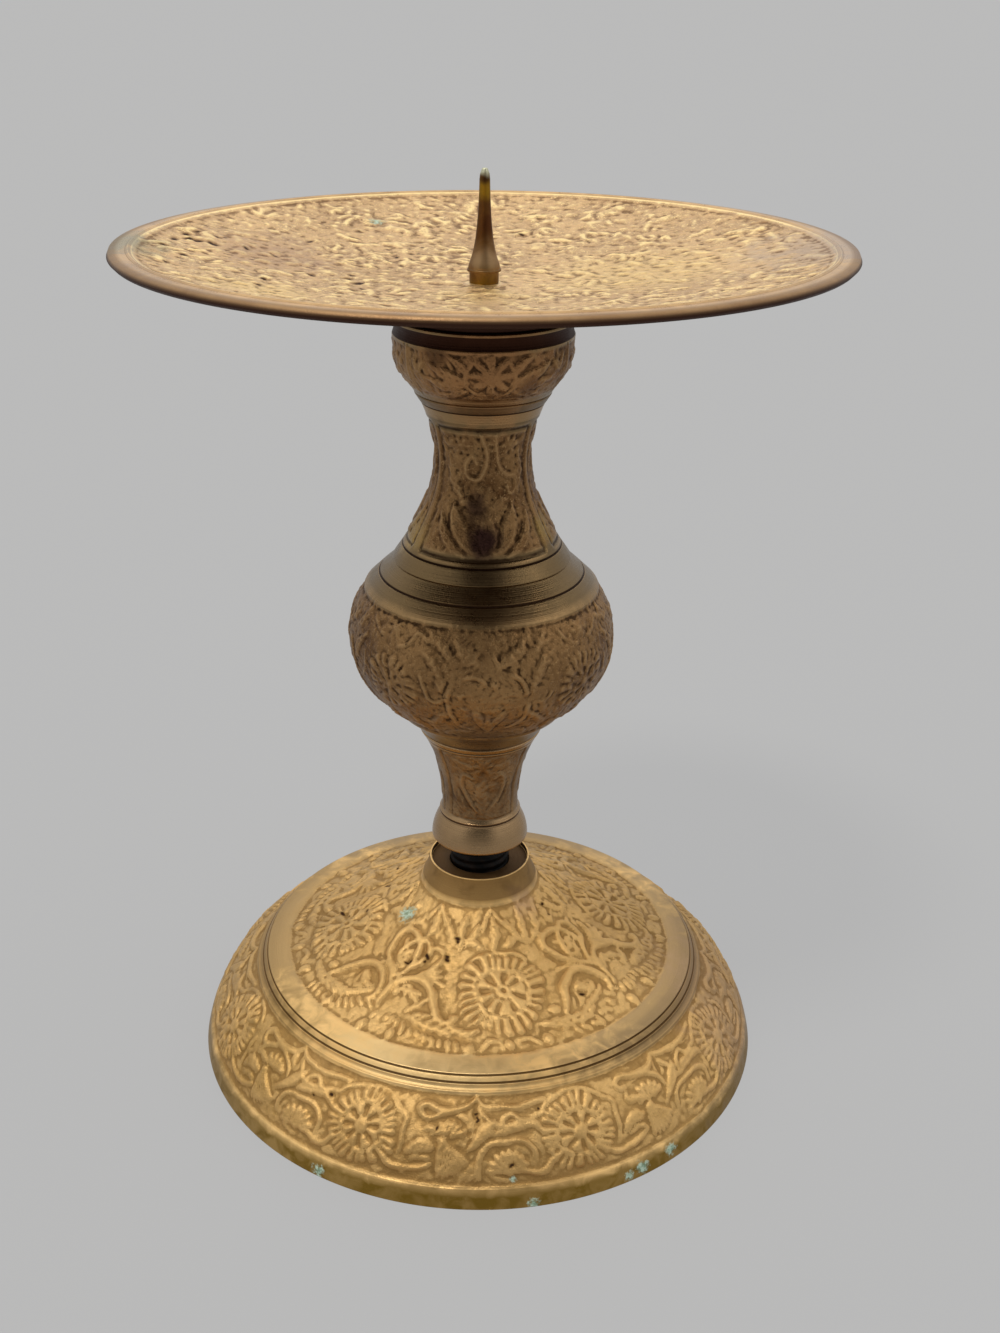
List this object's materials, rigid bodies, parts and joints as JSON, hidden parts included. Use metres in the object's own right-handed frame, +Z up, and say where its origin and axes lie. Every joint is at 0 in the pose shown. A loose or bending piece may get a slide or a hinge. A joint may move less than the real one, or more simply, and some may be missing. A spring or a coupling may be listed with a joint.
{
  "type": "candlestick",
  "caption": "Turned brass pricket candlestick: domed foot, baluster stem screwed on a steel stud, wide shallow drip pan held by a screwed spike.",
  "frame": {"origin": "centre of the foot's bottom edge, on the surface that it stands on", "axes": "+Z up along the turning axis of every piece; +X to the right and -Y towards the viewer in the picture"},
  "size_m": [0.127, 0.127, 0.1751],
  "materials": {
    "foot_brass": "warm gold brass, hand chased in low relief, worn bright on the high places and brown in the ground, a few green specks",
    "stud_steel": "blackened steel, dull",
    "stem_brass": "aged olive-brown brass, chased, with smooth dark turned bands",
    "pan_brass": "pale pinkish gold brass, chased all over the floor, plain worn rim",
    "spike_brass": "dark brown turned brass, brighter towards the point"
  },
  "bodies": {
    "foot": {"foot": "foot_brass"},
    "stud": {"foot_stud": "stud_steel"},
    "stem": {"lower_stem": "stem_brass", "bulb": "stem_brass", "neck": "stem_brass", "knop": "stem_brass"},
    "pan": {"drip_pan": "pan_brass"},
    "spike": {"pricket": "spike_brass"}
  },
  "joints": [
    {"name": "stem_turn", "type": "hinge", "parent": "foot", "child": "stud", "pos_m": [0, 0, 0.0394], "axis": [0, 0, 1], "range_deg": [-1224, 1440]},
    {"name": "stem_rise", "type": "slide", "parent": "stud", "child": "stem", "axis": [0, 0, 1], "range_m": [-0.00595, 0.007]},
    {"name": "pan_turn", "type": "hinge", "parent": "stem", "child": "pan", "pos_m": [0, 0, 0.1505], "axis": [0, 0, 1], "range_deg": [0, 3342]},
    {"name": "pricket_rise", "type": "slide", "parent": "pan", "child": "spike", "axis": [0, 0, 1], "range_m": [0, 0.0065]}
  ],
  "couplings": [
    {"joint": "stem_rise", "follows": "stem_turn", "m_per_rad": 0.00027852},
    {"joint": "pricket_rise", "follows": "pan_turn", "m_per_rad": 0.00011141}
  ]
}
